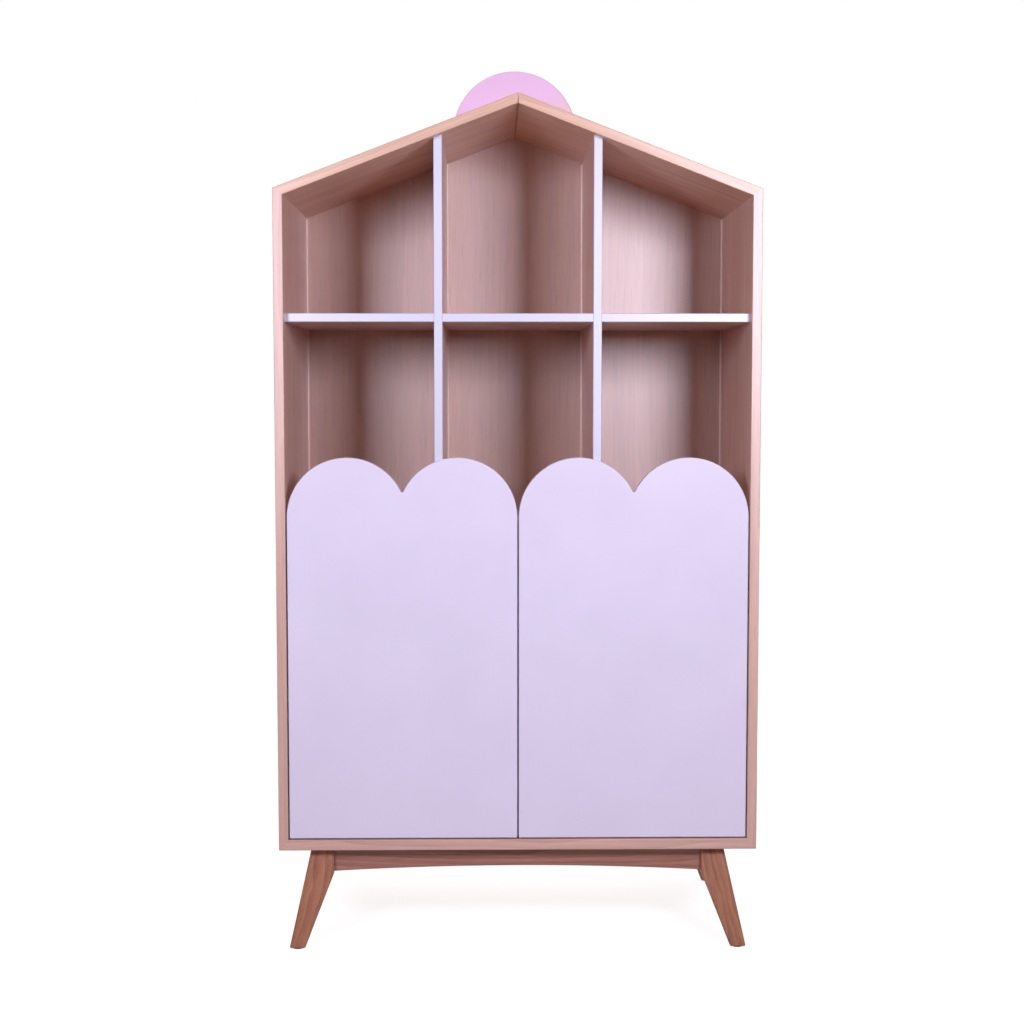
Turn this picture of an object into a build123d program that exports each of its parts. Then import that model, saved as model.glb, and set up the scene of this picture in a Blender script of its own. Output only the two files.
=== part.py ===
import math
import os

from build123d import *

# House-shaped children's cabinet. Millimetres, Z up, the front faces -Y,
# the origin is on the floor under the middle of the case.

# Case
case_width = 900
case_depth = 420
case_underside = 186
eaves_height = 1419
ridge_height = 1592
board = 18
bottom_board = 20
front_chamfer = 1
ridge_joint = 1.2
ridge_dowel_drop = 12

# Inner boards
inner_board = 16
upper_recess = 20
divider_centre = 148
upper_shelf_underside = 1176
mid_shelf_top = 800
lower_recess = 28
loose_shelf_recess = 40
loose_shelf_underside = 485
loose_shelf_end_gap = 2
shelf_edge_round = 1

# Back panel in its groove
back_thickness = 8
back_inset = 10
groove_depth = 6.5
panel_in_groove = 6
loose_shelf_back_gap = 2

# Half disc behind the ridge
disc_radius = 128
disc_below_ridge = 8
disc_thickness = 12
disc_edge_round = 2

# Doors
door_thickness = 18
door_gap = 2.5
door_setback = 0.5
lobe_radius = 111.5
lobe_top = 925
valley_radius = 2.5
door_edge_round = 2.5

# Single-pivot cup hinges
hinge_heights = (308, 735)
pivot_from_edge = 15
pivot_from_face = 9.3
cup_centre_from_edge = 22.5
cup_radius = 17.5
cup_depth = 12.6
cup_wall = 0.8
flange_thickness = 0.8
flange_rim = 1
ear_spacing = 48
ear_offset = 6
ear_width = 14
pin_radius = 1.25
pin_clearance = 0.05
eye_radius = 2.6
arm_thickness = 2
arm_width = 14
arm_flange = 1
arm_bend = 2.2
arm_end = 80
arm_off_side = 5.5
arm_nose = (13.2, 2.7)
arm_cheek = (13.8, 13.7)
arm_shoulder = (7, 19.7)
arm_neck = (-5.5, 20.2)
arm_lead = 4
arm_flange_depth = 3
plate_start = 40
plate_end = 84
plate_wing_thickness = 2.5
plate_wing_centre = 56
plate_wing_width = 14
plate_wing_span = 46
plate_base_width = 18
plate_base_thickness = 2
plate_screw_spacing = 32
plate_screw_length = 15
arm_screw_place = 70
arm_screw_bite = 4

# Magnetic catches
catch_width = 34
catch_depth = 17.7
catch_height = 12
catch_from_middle = 11
catch_gap = 0.3
catch_round = 2
catch_screw_spread = 11
catch_screw_from_back = 5
catch_screw_bite = 10
strike_width = 24
strike_thickness = 1.5
strike_round = 3

# Base
apron_thickness = 20
apron_setback = 5
apron_end_height = 48
apron_rise = 9.5
leg_front_recess = 25
leg_side_recess = 59
leg_top_width = 43
leg_foot_width = 30
leg_splay = 39
leg_round = 4
glide_thickness = 3
glide_radius = 11
apron_edge_round = 1
foot_bevel = 1.5
glide_round = 1.2
block_reach = 50
block_height = 40
block_screw_inset = 12
block_screw_radius = 2.5
block_screw_head = 4.5
block_screw_bite = 14
bolt_radius = 3
bolt_length = 62
bolt_head_radius = 5.5
bolt_head_height = 4
washer_radius = 8
washer_thickness = 1.5

# Fixings
dowel_radius = 4
dowel_bite = 12
dowel_row_inset = 80
shelf_pin_radius = 2.5
shelf_pin_bite = 7.5
shelf_pin_reach = 9
shelf_pin_collar = 1.2
shelf_pin_collar_radius = 3.8
pin_row_pitch = 64
pin_row_inset = 45
wood_screw_radius = 2
wood_screw_head = 3.8
wood_screw_head_height = 1.8
small_screw_radius = 1.75
small_screw_head = 3.4
small_screw_head_height = 1.6
small_screw_length = 12
pan_head_radius = 4
pan_head_height = 1.6
back_screw_bite = 20
quarter_points = (0.25, 0.75)
disc_screw_places = (0.3, 0.74)
long_edge = 60

# Values that follow from the sizes above
half_width = case_width / 2
front_y = -case_depth / 2
rear_y = case_depth / 2
inner_x = half_width - board
floor_top = case_underside + bottom_board
roof_angle = math.atan2(ridge_height - eaves_height, half_width)
disc_centre_height = ridge_height - disc_below_ridge
panel_front = rear_y - back_inset - back_thickness
panel_rear = panel_front + back_thickness
upper_front = front_y + upper_recess
lower_front = front_y + lower_recess
mid_shelf_underside = mid_shelf_top - inner_board
upper_shelf_top = upper_shelf_underside + inner_board
upper_shelf_middle = upper_shelf_underside + inner_board / 2
half_inner = inner_board / 2
door_width = (2 * inner_x - 3 * door_gap) / 2
door_outer_x = inner_x - door_gap
door_front = front_y + door_setback
door_back = door_front + door_thickness
door_bottom = floor_top + door_gap
lobe_centre_height = lobe_top - lobe_radius
leg_outer_x = half_width - leg_side_recess
leg_inner_x = leg_outer_x - leg_top_width
leg_outer_y = rear_y - leg_front_recess
leg_inner_y = leg_outer_y - leg_top_width
apron_end_z = case_underside - apron_end_height

os.makedirs("parts", exist_ok=True)


def roof_inner_z(x, inset):
    return ridge_height - inset / math.cos(roof_angle) - abs(x) * math.tan(roof_angle)


def house_points(inset, floor_inset):
    half = half_width - inset
    low = case_underside + floor_inset
    return [
        (-half, low),
        (half, low),
        (half, roof_inner_z(half, inset)),
        (0, roof_inner_z(0, inset)),
        (-half, roof_inner_z(half, inset)),
    ]


def front_prism(points, y_start, y_end):
    # a prism with an outline in X and Z that runs from y_start to y_end
    plane = Plane(origin=(0, y_start, 0), x_dir=(1, 0, 0), z_dir=(0, -1, 0))
    face = plane * make_face(Polyline(*points, close=True))
    return extrude(face, amount=y_end - y_start, dir=(0, 1, 0))


def plan_prism(points, z_start, z_end):
    face = Plane.XY.offset(z_start) * make_face(Polyline(*points, close=True))
    return extrude(face, amount=z_end - z_start)


def block(x0, x1, y0, y1, z0, z1):
    return Pos((x0 + x1) / 2, (y0 + y1) / 2, (z0 + z1) / 2) * Box(x1 - x0, y1 - y0, z1 - z0)


def rod(start, end, radius):
    # a round bar from one point to another
    axis = Vector(*end) - Vector(*start)
    plane = Plane(origin=start, z_dir=axis.normalized())
    return extrude(plane * Circle(radius), amount=axis.length)


def screw(point, direction, length, radius, head_radius, head_height):
    # a countersunk screw, its flat head face at the point, running along the direction
    way = Vector(*direction).normalized()
    plane = Plane(origin=point, z_dir=way)
    head = extrude(plane * Circle(head_radius), amount=head_height, taper=45)
    shank = extrude(plane * Circle(radius), amount=length)
    return head + shank


def small_screw(point, direction, length):
    return screw(point, direction, length, small_screw_radius, small_screw_head, small_screw_head_height)


def pan_screw(point, direction, length):
    # a screw with a raised head that stands on the surface at the point
    way = Vector(*direction).normalized()
    plane = Plane(origin=point, z_dir=way)
    head = extrude(plane * Circle(pan_head_radius), amount=-pan_head_height)
    rim = head.edges().sort_by(Axis(point, direction))[0]
    head = fillet(rim, pan_head_height / 2)
    return head + extrude(plane * Circle(wood_screw_radius), amount=length)


def mirrored(shape):
    return mirror(shape, about=Plane.YZ)


def eased_front(solid, face_y, amount):
    # the long edges of the front face lose their sharp corners
    edges = [edge for edge in solid.edges() if edge.length > long_edge]
    return chamfer([edge for edge in edges if abs(edge.center().Y - face_y) < amount / 2], amount)


def cut_all(solid, tools):
    for tool in tools:
        solid = solid - tool
    return solid


def save(shape, name):
    export_step(shape.solids()[0], f"parts/{name}.step")


def save_group(shapes, name):
    export_step(Compound(children=[shape.solids()[0] for shape in shapes]), f"parts/{name}.step")


# Dowels that join the fixed shelves, the dividers, the partition and the ridge
def level_dowel(x, y, z, reach=dowel_bite):
    return rod((x - reach, y, z), (x + reach, y, z), dowel_radius)


def upright_dowel(x, y, z):
    return rod((x, y, z - dowel_bite), (x, y, z + dowel_bite), dowel_radius)


dowel_rows_y = (front_y + dowel_row_inset, panel_front - dowel_row_inset)
mid_shelf_middle = mid_shelf_top - half_inner
side_dowels = []
through_dowels = []
mid_shelf_dowels = []
divider_dowels = []
partition_dowels = []
ridge_dowels = []
for dowel_y in dowel_rows_y:
    ridge_dowels.append(level_dowel(0, dowel_y, ridge_height - ridge_dowel_drop))
    for side in (-1, 1):
        divider_x = side * divider_centre
        side_dowels.append(level_dowel(side * inner_x, dowel_y, upper_shelf_middle))
        mid_shelf_dowels.append(level_dowel(side * inner_x, dowel_y, mid_shelf_middle))
        through_dowels.append(level_dowel(divider_x, dowel_y, upper_shelf_middle, half_inner + dowel_bite))
        divider_dowels.append(upright_dowel(divider_x, dowel_y, mid_shelf_top))
    for joint_z in (floor_top, mid_shelf_underside):
        partition_dowels.append(upright_dowel(0, dowel_y, joint_z))
all_dowels = side_dowels + through_dowels + mid_shelf_dowels + divider_dowels
all_dowels += partition_dowels + ridge_dowels
save_group(all_dowels, "joint_dowels")

# Pins under the loose shelves, and the rows of holes that they stand in
pin_centre_z = loose_shelf_underside - shelf_pin_radius
pin_rows_y = (front_y + loose_shelf_recess + pin_row_inset, panel_front - pin_row_inset)
pin_faces = ((-inner_x, 1), (-half_inner, -1), (half_inner, 1), (inner_x, -1))
shelf_pins = []
pin_holes = []
for pin_y in pin_rows_y:
    for face_x, way in pin_faces:
        hole_end = face_x - way * shelf_pin_bite
        for step in (-1, 0, 1):
            hole_z = pin_centre_z + step * pin_row_pitch
            pin_holes.append(rod((hole_end, pin_y, hole_z), (face_x, pin_y, hole_z), shelf_pin_radius))
        start = (hole_end, pin_y, pin_centre_z)
        face = (face_x, pin_y, pin_centre_z)
        shaft_end = (face_x + way * shelf_pin_reach, pin_y, pin_centre_z)
        collar_end = (face_x + way * shelf_pin_collar, pin_y, pin_centre_z)
        shaft = rod(start, shaft_end, shelf_pin_radius)
        shelf_pins.append(shaft + rod(face, collar_end, shelf_pin_collar_radius))
save_group(shelf_pins, "shelf_pins")


# One hinge in the frame of the left door: x from the door's outer edge inwards,
# y from the door's front face to its back, z from the middle of the hinge
def cup_rod(y_start, y_end, radius):
    return rod((cup_centre_from_edge, y_start, 0), (cup_centre_from_edge, y_end, 0), radius)


def hinge_cup():
    bore_floor = door_thickness - cup_depth
    flange_back = door_thickness + flange_thickness
    outside = cup_rod(bore_floor, door_thickness, cup_radius)
    rim = cup_rod(door_thickness, flange_back, cup_radius + flange_rim)
    ear_middle = (cup_centre_from_edge + ear_offset, door_thickness, 0)
    plane = Plane(origin=ear_middle, x_dir=(0, 0, 1), z_dir=(0, 1, 0))
    ears = extrude(plane * SlotCenterToCenter(ear_spacing, ear_width), amount=flange_thickness)
    inside = cup_rod(bore_floor + cup_wall, flange_back, cup_radius - cup_wall)
    return outside + rim + ears - inside


def hinge_pin():
    far_side = cup_centre_from_edge - pivot_from_edge + pin_radius
    reach = math.sqrt(cup_radius ** 2 - far_side ** 2) - cup_wall / 8
    pivot = (pivot_from_edge, pivot_from_face)
    return rod((*pivot, -reach), (*pivot, reach), pin_radius)


def hinge_arm():
    side_face = -door_gap
    arm_x = side_face + arm_off_side + arm_thickness / 2
    offsets = (arm_nose, arm_cheek, arm_shoulder, arm_neck)
    bends = [(pivot_from_edge + x, pivot_from_face + y) for x, y in offsets]
    pivot = (pivot_from_edge, pivot_from_face)
    path = FilletPolyline(
        pivot,
        *bends,
        (arm_x, plate_start - arm_lead),
        (arm_x, arm_end),
        radius=arm_bend,
    )
    strip = extrude(trace(path, arm_thickness), amount=arm_width / 2, both=True)
    eye = rod((*pivot, -arm_width / 2), (*pivot, arm_width / 2), eye_radius)
    eye_hole = rod((*pivot, -arm_width), (*pivot, arm_width), pin_radius + pin_clearance)
    arm = strip + eye
    inner_face = arm_x - arm_thickness / 2
    for side in (-1, 1):
        outer = side * arm_width / 2
        inner = outer - side * arm_flange
        low, high = sorted((outer, inner))
        arm = arm + block(inner_face - arm_flange_depth, inner_face, plate_start, arm_end, low, high)
    hole_start, hole_end = (side_face, arm_screw_place, 0), (pivot_from_edge, arm_screw_place, 0)
    screw_hole = rod(hole_start, hole_end, wood_screw_radius)
    return arm - eye_hole - screw_hole


def hinge_plate():
    side_face = -door_gap
    boss_half = arm_width / 2 - arm_flange
    base_half = plate_base_width / 2
    boss = block(side_face, side_face + arm_off_side, plate_start, plate_end, -boss_half, boss_half)
    plane = Plane(origin=(side_face, plate_wing_centre, 0), x_dir=(0, 0, 1), z_dir=(1, 0, 0))
    wings = extrude(plane * SlotOverall(plate_wing_span, plate_wing_width), amount=plate_wing_thickness)
    base = block(side_face, side_face + plate_base_thickness, plate_start, plate_end, -base_half, base_half)
    plate = boss + wings + base
    plate = cut_all(plate, hinge_plate_screws())
    return plate - hinge_arm_screw()


def hinge_plate_screws():
    face = -door_gap + plate_wing_thickness
    sizes = (plate_screw_length, wood_screw_radius, wood_screw_head, wood_screw_head_height)
    return [
        screw((face, plate_wing_centre, side * plate_screw_spacing / 2), (-1, 0, 0), *sizes)
        for side in (-1, 1)
    ]


def hinge_arm_screw():
    face = -door_gap + arm_off_side + arm_thickness
    return pan_screw((face, arm_screw_place, 0), (-1, 0, 0), arm_thickness + arm_screw_bite)


def hinge_cup_screws():
    back = door_thickness + flange_thickness
    ear_x = cup_centre_from_edge + ear_offset
    heads = [(ear_x, back, side * ear_spacing / 2) for side in (-1, 1)]
    return [small_screw(head, (0, -1, 0), small_screw_length) for head in heads]


def placed(shape, height, side):
    # a hinge piece moved to its place on the left door, or mirrored to the right one
    moved = Pos(-door_outer_x, door_front, height) * shape
    return moved if side < 0 else mirrored(moved)


sides = ((-1, "left"), (1, "right"))
heights = ((hinge_heights[0], "lower"), (hinge_heights[1], "upper"))
cup_bores = {-1: [], 1: []}
cup_screws = {-1: [], 1: []}
plate_screws = {-1: [], 1: []}
hinge_pins = {-1: [], 1: []}
arm_screws = []
for side, side_name in sides:
    for height, height_name in heights:
        hinge_name = f"{side_name}_{height_name}"
        screws = [placed(one, height, side) for one in hinge_cup_screws()]
        cup_screws[side] += screws
        pin = placed(hinge_pin(), height, side)
        hinge_pins[side].append(pin)
        cup = cut_all(placed(hinge_cup(), height, side), screws + [pin])
        save(cup, hinge_name + "_hinge_cup")
        save(placed(hinge_arm(), height, side), hinge_name + "_hinge_arm")
        save(placed(hinge_plate(), height, side), hinge_name + "_hinge_plate")
        plate_screws[side] += [placed(one, height, side) for one in hinge_plate_screws()]
        arm_screws.append(placed(hinge_arm_screw(), height, side))
        bore = cup_rod(door_thickness - cup_depth, door_thickness + 1, cup_radius)
        cup_bores[side].append(placed(bore, height, side))
    save_group(cup_screws[side], side_name + "_cup_screws")
    save_group(hinge_pins[side], side_name + "_hinge_pins")
save_group(plate_screws[-1] + plate_screws[1], "hinge_plate_screws")
save_group(arm_screws, "hinge_arm_screws")

# Magnetic catches under the fixed shelf and their strike plates on the doors
strike_back = door_back + strike_thickness
catch_front = strike_back + catch_gap
catch_back = catch_front + catch_depth
catch_underside = mid_shelf_underside - catch_height
catch_screw_y = catch_back - catch_screw_from_back
catch_screws = []
strike_screws = {-1: [], 1: []}
for side, side_name in sides:
    middle = side * (catch_from_middle + catch_width / 2)
    low, high = middle - catch_width / 2, middle + catch_width / 2
    catch = block(low, high, catch_front, catch_back, catch_underside, mid_shelf_underside)
    catch = fillet(catch.edges().filter_by(Axis.Z), catch_round)
    heads = [(middle + way * catch_screw_spread, catch_screw_y, catch_underside) for way in (-1, 1)]
    screws = [small_screw(head, (0, 0, 1), catch_height + catch_screw_bite) for head in heads]
    catch_screws += screws
    save(cut_all(catch, screws), side_name + "_magnet_catch")
    low, high = middle - strike_width / 2, middle + strike_width / 2
    strike = block(low, high, door_back, strike_back, catch_underside, mid_shelf_underside)
    strike = fillet(strike.edges().filter_by(Axis.Y), strike_round)
    head = (middle, strike_back, (catch_underside + mid_shelf_underside) / 2)
    strike_screw = small_screw(head, (0, -1, 0), small_screw_length)
    strike_screws[side].append(strike_screw)
    save(strike - strike_screw, side_name + "_strike_plate")
    save(strike_screw, side_name + "_strike_screw")
save_group(catch_screws, "catch_screws")


# Doors: a board whose top edge is two arcs that meet in a small rounded valley
def door():
    left = -door_outer_x
    right = left + door_width
    middle = (left + right) / 2
    lobe_offset = door_width / 2 - lobe_radius
    lower_corners = [(left, door_bottom), (right, door_bottom)]
    upper_corners = [(right, lobe_centre_height), (left, lobe_centre_height)]
    outline = make_face(Polyline(*lower_corners, *upper_corners, close=True))
    for way in (-1, 1):
        outline += Pos(middle + way * lobe_offset, lobe_centre_height) * Circle(lobe_radius)
    valley = outline.vertices().sort_by_distance((middle, lobe_top))[0]
    outline = fillet(valley, valley_radius)
    bottom_corners = outline.vertices().group_by(Axis.Y)[0]
    outline = fillet(bottom_corners, door_edge_round)
    plane = Plane(origin=(0, door_front, 0), x_dir=(1, 0, 0), z_dir=(0, -1, 0))
    solid = extrude(plane * outline, amount=door_thickness, dir=(0, 1, 0))
    front = solid.faces().sort_by(Axis.Y)[0]
    back = solid.faces().sort_by(Axis.Y)[-1]
    return fillet(front.edges() + back.edges(), door_edge_round)


left_door = door()
for side, side_name in sides:
    leaf = left_door if side < 0 else mirrored(left_door)
    leaf = cut_all(leaf, cup_bores[side] + cup_screws[side] + strike_screws[side])
    save(leaf, side_name + "_door")

# Screws from behind through the back panel into the boards in front of it
back_screws = []
outer_bay_middle = (divider_centre + inner_x) / 2
divider_top = roof_inner_z(divider_centre, board)
back_screw_places = []
for x in (-outer_bay_middle, 0, outer_bay_middle):
    back_screw_places += [(x, mid_shelf_middle), (x, upper_shelf_middle)]
for share in quarter_points:
    back_screw_places.append((0, floor_top + share * (mid_shelf_underside - floor_top)))
    for x in (-divider_centre, divider_centre):
        back_screw_places.append((x, mid_shelf_top + share * (upper_shelf_underside - mid_shelf_top)))
        back_screw_places.append((x, upper_shelf_top + share * (divider_top - upper_shelf_top)))
for x, z in back_screw_places:
    back_screws.append(pan_screw((x, panel_rear, z), (0, -1, 0), back_thickness + back_screw_bite))
save_group(back_screws, "back_screws")

# Half disc behind the ridge: a round board trimmed along the underside of the roof
disc_rear = rear_y + disc_thickness
disc_top = disc_centre_height + disc_radius
disc = rod((0, rear_y, disc_centre_height), (0, disc_rear, disc_centre_height), disc_radius)
trim_points = [
    (-half_width, roof_inner_z(half_width, board)),
    (0, roof_inner_z(0, board)),
    (half_width, roof_inner_z(half_width, board)),
    (half_width, disc_top),
    (-half_width, disc_top),
]
disc = disc & front_prism(trim_points, rear_y, disc_rear)
disc_rims = [e for e in disc.edges() if e.geom_type == GeomType.CIRCLE]
disc = fillet(disc_rims, disc_edge_round)
disc_screws = []
for share in disc_screw_places:
    for x in (-share * disc_radius, share * disc_radius):
        head_point = (x, disc_rear, roof_inner_z(x, board / 2))
        disc_screws.append(pan_screw(head_point, (0, -1, 0), disc_thickness + back_screw_bite))
save(cut_all(disc, disc_screws), "sun_disc")
save_group(disc_screws, "disc_screws")

# Base: corner blocks between the aprons, a bolt into each leg and screws up into the bottom board
apron_outer_x = leg_outer_x - apron_setback
apron_outer_y = leg_outer_y - apron_setback
block_x = apron_outer_x - apron_thickness
block_y = apron_outer_y - apron_thickness
block_bottom = case_underside - block_height
bolt_height = case_underside - block_height / 2


def quadrant(shape, x_way, y_way):
    # a piece made in the right rear corner, mirrored to any other corner
    if x_way < 0:
        shape = mirror(shape, about=Plane.YZ)
    if y_way < 0:
        shape = mirror(shape, about=Plane.XZ)
    return shape


def corner_block():
    points = (
        (leg_inner_x - block_reach, block_y),
        (leg_inner_x, block_y),
        (leg_inner_x, leg_inner_y),
        (block_x, leg_inner_y),
        (block_x, leg_inner_y - block_reach),
    )
    return plan_prism(points, block_bottom, case_underside)


bolt_face_x = (leg_inner_x - block_reach + block_x) / 2
bolt_face_y = (block_y + leg_inner_y - block_reach) / 2
bolt_face = (bolt_face_x, bolt_face_y, bolt_height)


def bolt_washer():
    plane = Plane(origin=bolt_face, z_dir=(-1, -1, 0))
    return extrude(plane * Circle(washer_radius), amount=washer_thickness) - leg_bolt()


def leg_bolt():
    plane = Plane(origin=bolt_face, z_dir=(-1, -1, 0))
    head_plane = plane.offset(washer_thickness)
    head = extrude(head_plane * RegularPolygon(bolt_head_radius, 6), amount=bolt_head_height)
    shank = extrude(head_plane * Circle(bolt_radius), amount=-(bolt_length + washer_thickness))
    return head + shank


def block_screws():
    reach = block_reach / 2
    points = (
        (leg_inner_x - reach, block_y - block_screw_inset),
        (block_x - block_screw_inset, leg_inner_y - reach),
    )
    length = block_height + block_screw_bite
    sizes = (length, block_screw_radius, block_screw_head, block_screw_head - block_screw_radius)
    return [screw((x, y, block_bottom), (0, 0, 1), *sizes) for x, y in points]


def leg_section(height, inside_x, inside_y):
    # the leg cut level at a height, between its inner faces and its leaning outer faces
    lean = leg_splay * (case_underside - height) / (case_underside - glide_thickness)
    outside_x = leg_outer_x + lean
    outside_y = leg_outer_y + lean
    shape = RectangleRounded(outside_x - inside_x, outside_y - inside_y, leg_round)
    return Pos((outside_x + inside_x) / 2, (outside_y + inside_y) / 2, height) * shape


foot_inner_x = leg_outer_x + leg_splay - leg_foot_width
foot_inner_y = leg_outer_y + leg_splay - leg_foot_width
top_section = leg_section(case_underside, leg_inner_x, leg_inner_y)
knee_section = leg_section(apron_end_z, leg_inner_x, leg_inner_y)
foot_section = leg_section(glide_thickness + foot_bevel, foot_inner_x, foot_inner_y)
foot_middle = (foot_inner_x + leg_foot_width / 2, foot_inner_y + leg_foot_width / 2)
toe_width = leg_foot_width - 2 * foot_bevel
toe_shape = RectangleRounded(toe_width, toe_width, leg_round - foot_bevel)
toe_section = Pos(*foot_middle, glide_thickness) * toe_shape
leg = loft([top_section, knee_section], ruled=True) + loft([knee_section, foot_section], ruled=True)
leg = leg + loft([foot_section, toe_section], ruled=True)
glide = rod((*foot_middle, glide_thickness), (*foot_middle, 0), glide_radius)
glide = fillet(glide.edges().sort_by(Axis.Z)[0], glide_round)

corners = (
    (-1, -1, "front_left"), (1, -1, "front_right"), (-1, 1, "rear_left"), (1, 1, "rear_right"),
)
corner_blocks = []
leg_bolts = []
bolt_washers = []
base_screws = []
foot_glides = []
for x_way, y_way, corner_name in corners:
    bolt = quadrant(leg_bolt(), x_way, y_way)
    screws = [quadrant(one, x_way, y_way) for one in block_screws()]
    leg_bolts.append(bolt)
    bolt_washers.append(quadrant(bolt_washer(), x_way, y_way))
    base_screws += screws
    corner_blocks.append(cut_all(quadrant(corner_block(), x_way, y_way), screws + [bolt]))
    foot_glides.append(quadrant(glide, x_way, y_way))
    save(quadrant(leg, x_way, y_way) - bolt, corner_name + "_leg")
for pieces, name in (
    (corner_blocks, "corner_blocks"),
    (leg_bolts, "leg_bolts"),
    (bolt_washers, "bolt_washers"),
    (base_screws, "base_screws"),
    (foot_glides, "foot_glides"),
):
    save_group(pieces, name)


def apron(half_length, rise):
    # a rail along X with its lower edge arched, its middle line on Y = 0
    outline = make_face(
        [
            Line((-half_length, apron_end_z), (-half_length, case_underside)),
            Line((-half_length, case_underside), (half_length, case_underside)),
            Line((half_length, case_underside), (half_length, apron_end_z)),
            ThreePointArc((half_length, apron_end_z), (0, apron_end_z + rise), (-half_length, apron_end_z)),
        ]
    )
    plane = Plane(origin=(0, -apron_thickness / 2, 0), x_dir=(1, 0, 0), z_dir=(0, -1, 0))
    rail = extrude(plane * outline, amount=apron_thickness, dir=(0, 1, 0))
    lower = [e for e in rail.edges() if e.geom_type == GeomType.CIRCLE]
    return chamfer(lower, apron_edge_round)


long_apron = apron(leg_inner_x, apron_rise)
short_apron = Rot(0, 0, 90) * apron(leg_inner_y, apron_rise * leg_inner_y / leg_inner_x)
save(Pos(0, -(apron_outer_y - apron_thickness / 2), 0) * long_apron, "front_apron")
save(Pos(0, apron_outer_y - apron_thickness / 2, 0) * long_apron, "rear_apron")
save(Pos(-(apron_outer_x - apron_thickness / 2), 0, 0) * short_apron, "left_apron")
save(Pos(apron_outer_x - apron_thickness / 2, 0, 0) * short_apron, "right_apron")

# Case boards with mitred ends, all with the groove for the back panel
outer_points = house_points(0, 0)
inner_points = house_points(board, bottom_board)
groove_points = house_points(board - groove_depth, bottom_board - groove_depth)
groove = front_prism(groove_points, panel_front, panel_rear)
side_cuts = side_dowels + mid_shelf_dowels + pin_holes
half_joint = ridge_joint / 2
ridge_slot = block(-half_joint, half_joint, front_y, rear_y, eaves_height, ridge_height)
frame_boards = (
    ("bottom_board", partition_dowels + base_screws),
    ("right_side", side_cuts + plate_screws[1]),
    ("right_roof", disc_screws + ridge_dowels + [ridge_slot]),
    ("left_roof", disc_screws + ridge_dowels + [ridge_slot]),
    ("left_side", side_cuts + plate_screws[-1]),
)
for index, (name, cuts) in enumerate(frame_boards):
    following = (index + 1) % len(outer_points)
    corners = [outer_points[index], outer_points[following], inner_points[following], inner_points[index]]
    frame_board = front_prism(corners, front_y, rear_y)
    frame_board = eased_front(frame_board, front_y, front_chamfer)
    save(cut_all(frame_board - groove, cuts), name)

panel_points = house_points(board - panel_in_groove, bottom_board - panel_in_groove)
back_panel = front_prism(panel_points, panel_front, panel_rear)
save(cut_all(back_panel, back_screws), "back_panel")

# Dividers from the middle shelf up to the slope of the roof
divider_left = divider_centre - half_inner
divider_right = divider_centre + half_inner
divider = front_prism(
    [
        (divider_left, mid_shelf_top),
        (divider_right, mid_shelf_top),
        (divider_right, roof_inner_z(divider_right, board)),
        (divider_left, roof_inner_z(divider_left, board)),
    ],
    upper_front,
    panel_front,
)
divider = eased_front(divider, upper_front, shelf_edge_round)
for side, side_name in sides:
    leaf = divider if side > 0 else mirrored(divider)
    save(cut_all(leaf, through_dowels + divider_dowels + back_screws), side_name + "_divider")

# Fixed shelves, lower partition and loose shelves
upper_lengths = (
    ("upper_shelf_left", -inner_x, -divider_right),
    ("upper_shelf_middle", -divider_left, divider_left),
    ("upper_shelf_right", divider_right, inner_x),
)
for name, x_start, x_end in upper_lengths:
    shelf = block(x_start, x_end, upper_front, panel_front, upper_shelf_underside, upper_shelf_top)
    shelf = eased_front(shelf, upper_front, shelf_edge_round)
    save(cut_all(shelf, side_dowels + through_dowels + back_screws), name)

mid_shelf = block(-inner_x, inner_x, lower_front, panel_front, mid_shelf_underside, mid_shelf_top)
mid_shelf = eased_front(mid_shelf, lower_front, shelf_edge_round)
mid_shelf_cuts = mid_shelf_dowels + divider_dowels + partition_dowels + back_screws + catch_screws
save(cut_all(mid_shelf, mid_shelf_cuts), "mid_shelf")

partition = block(-half_inner, half_inner, lower_front, panel_front, floor_top, mid_shelf_underside)
partition = eased_front(partition, lower_front, shelf_edge_round)
save(cut_all(partition, partition_dowels + pin_holes + back_screws), "lower_partition")

shelf_front = front_y + loose_shelf_recess
shelf_back = panel_front - loose_shelf_back_gap
shelf_left = half_inner + loose_shelf_end_gap
shelf_right = inner_x - loose_shelf_end_gap
shelf_low = loose_shelf_underside
shelf_high = shelf_low + inner_board
loose_shelf = block(shelf_left, shelf_right, shelf_front, shelf_back, shelf_low, shelf_high)
loose_shelf = eased_front(loose_shelf, shelf_front, shelf_edge_round)
save(loose_shelf, "lower_shelf_right")
save(mirrored(loose_shelf), "lower_shelf_left")
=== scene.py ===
import math
import random

import bmesh
import bpy
from mathutils import Matrix, Vector


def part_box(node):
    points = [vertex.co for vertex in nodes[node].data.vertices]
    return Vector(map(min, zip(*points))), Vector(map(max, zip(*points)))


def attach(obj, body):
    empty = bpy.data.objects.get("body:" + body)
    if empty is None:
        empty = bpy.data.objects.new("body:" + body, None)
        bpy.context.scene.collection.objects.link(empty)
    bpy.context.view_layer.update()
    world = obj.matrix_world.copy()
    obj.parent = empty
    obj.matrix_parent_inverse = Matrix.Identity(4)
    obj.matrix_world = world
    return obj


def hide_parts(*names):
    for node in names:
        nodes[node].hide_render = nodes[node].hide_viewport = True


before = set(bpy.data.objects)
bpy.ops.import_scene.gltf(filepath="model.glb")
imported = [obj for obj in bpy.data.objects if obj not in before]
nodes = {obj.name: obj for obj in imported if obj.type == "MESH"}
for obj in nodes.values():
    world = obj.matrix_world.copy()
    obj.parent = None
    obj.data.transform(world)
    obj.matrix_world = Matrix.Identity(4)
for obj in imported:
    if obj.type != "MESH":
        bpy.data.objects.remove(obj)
for startName in ("Cube", "Light", "Camera"):   # what a new file starts with
    if startName in bpy.data.objects:
        bpy.data.objects.remove(bpy.data.objects[startName])
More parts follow.
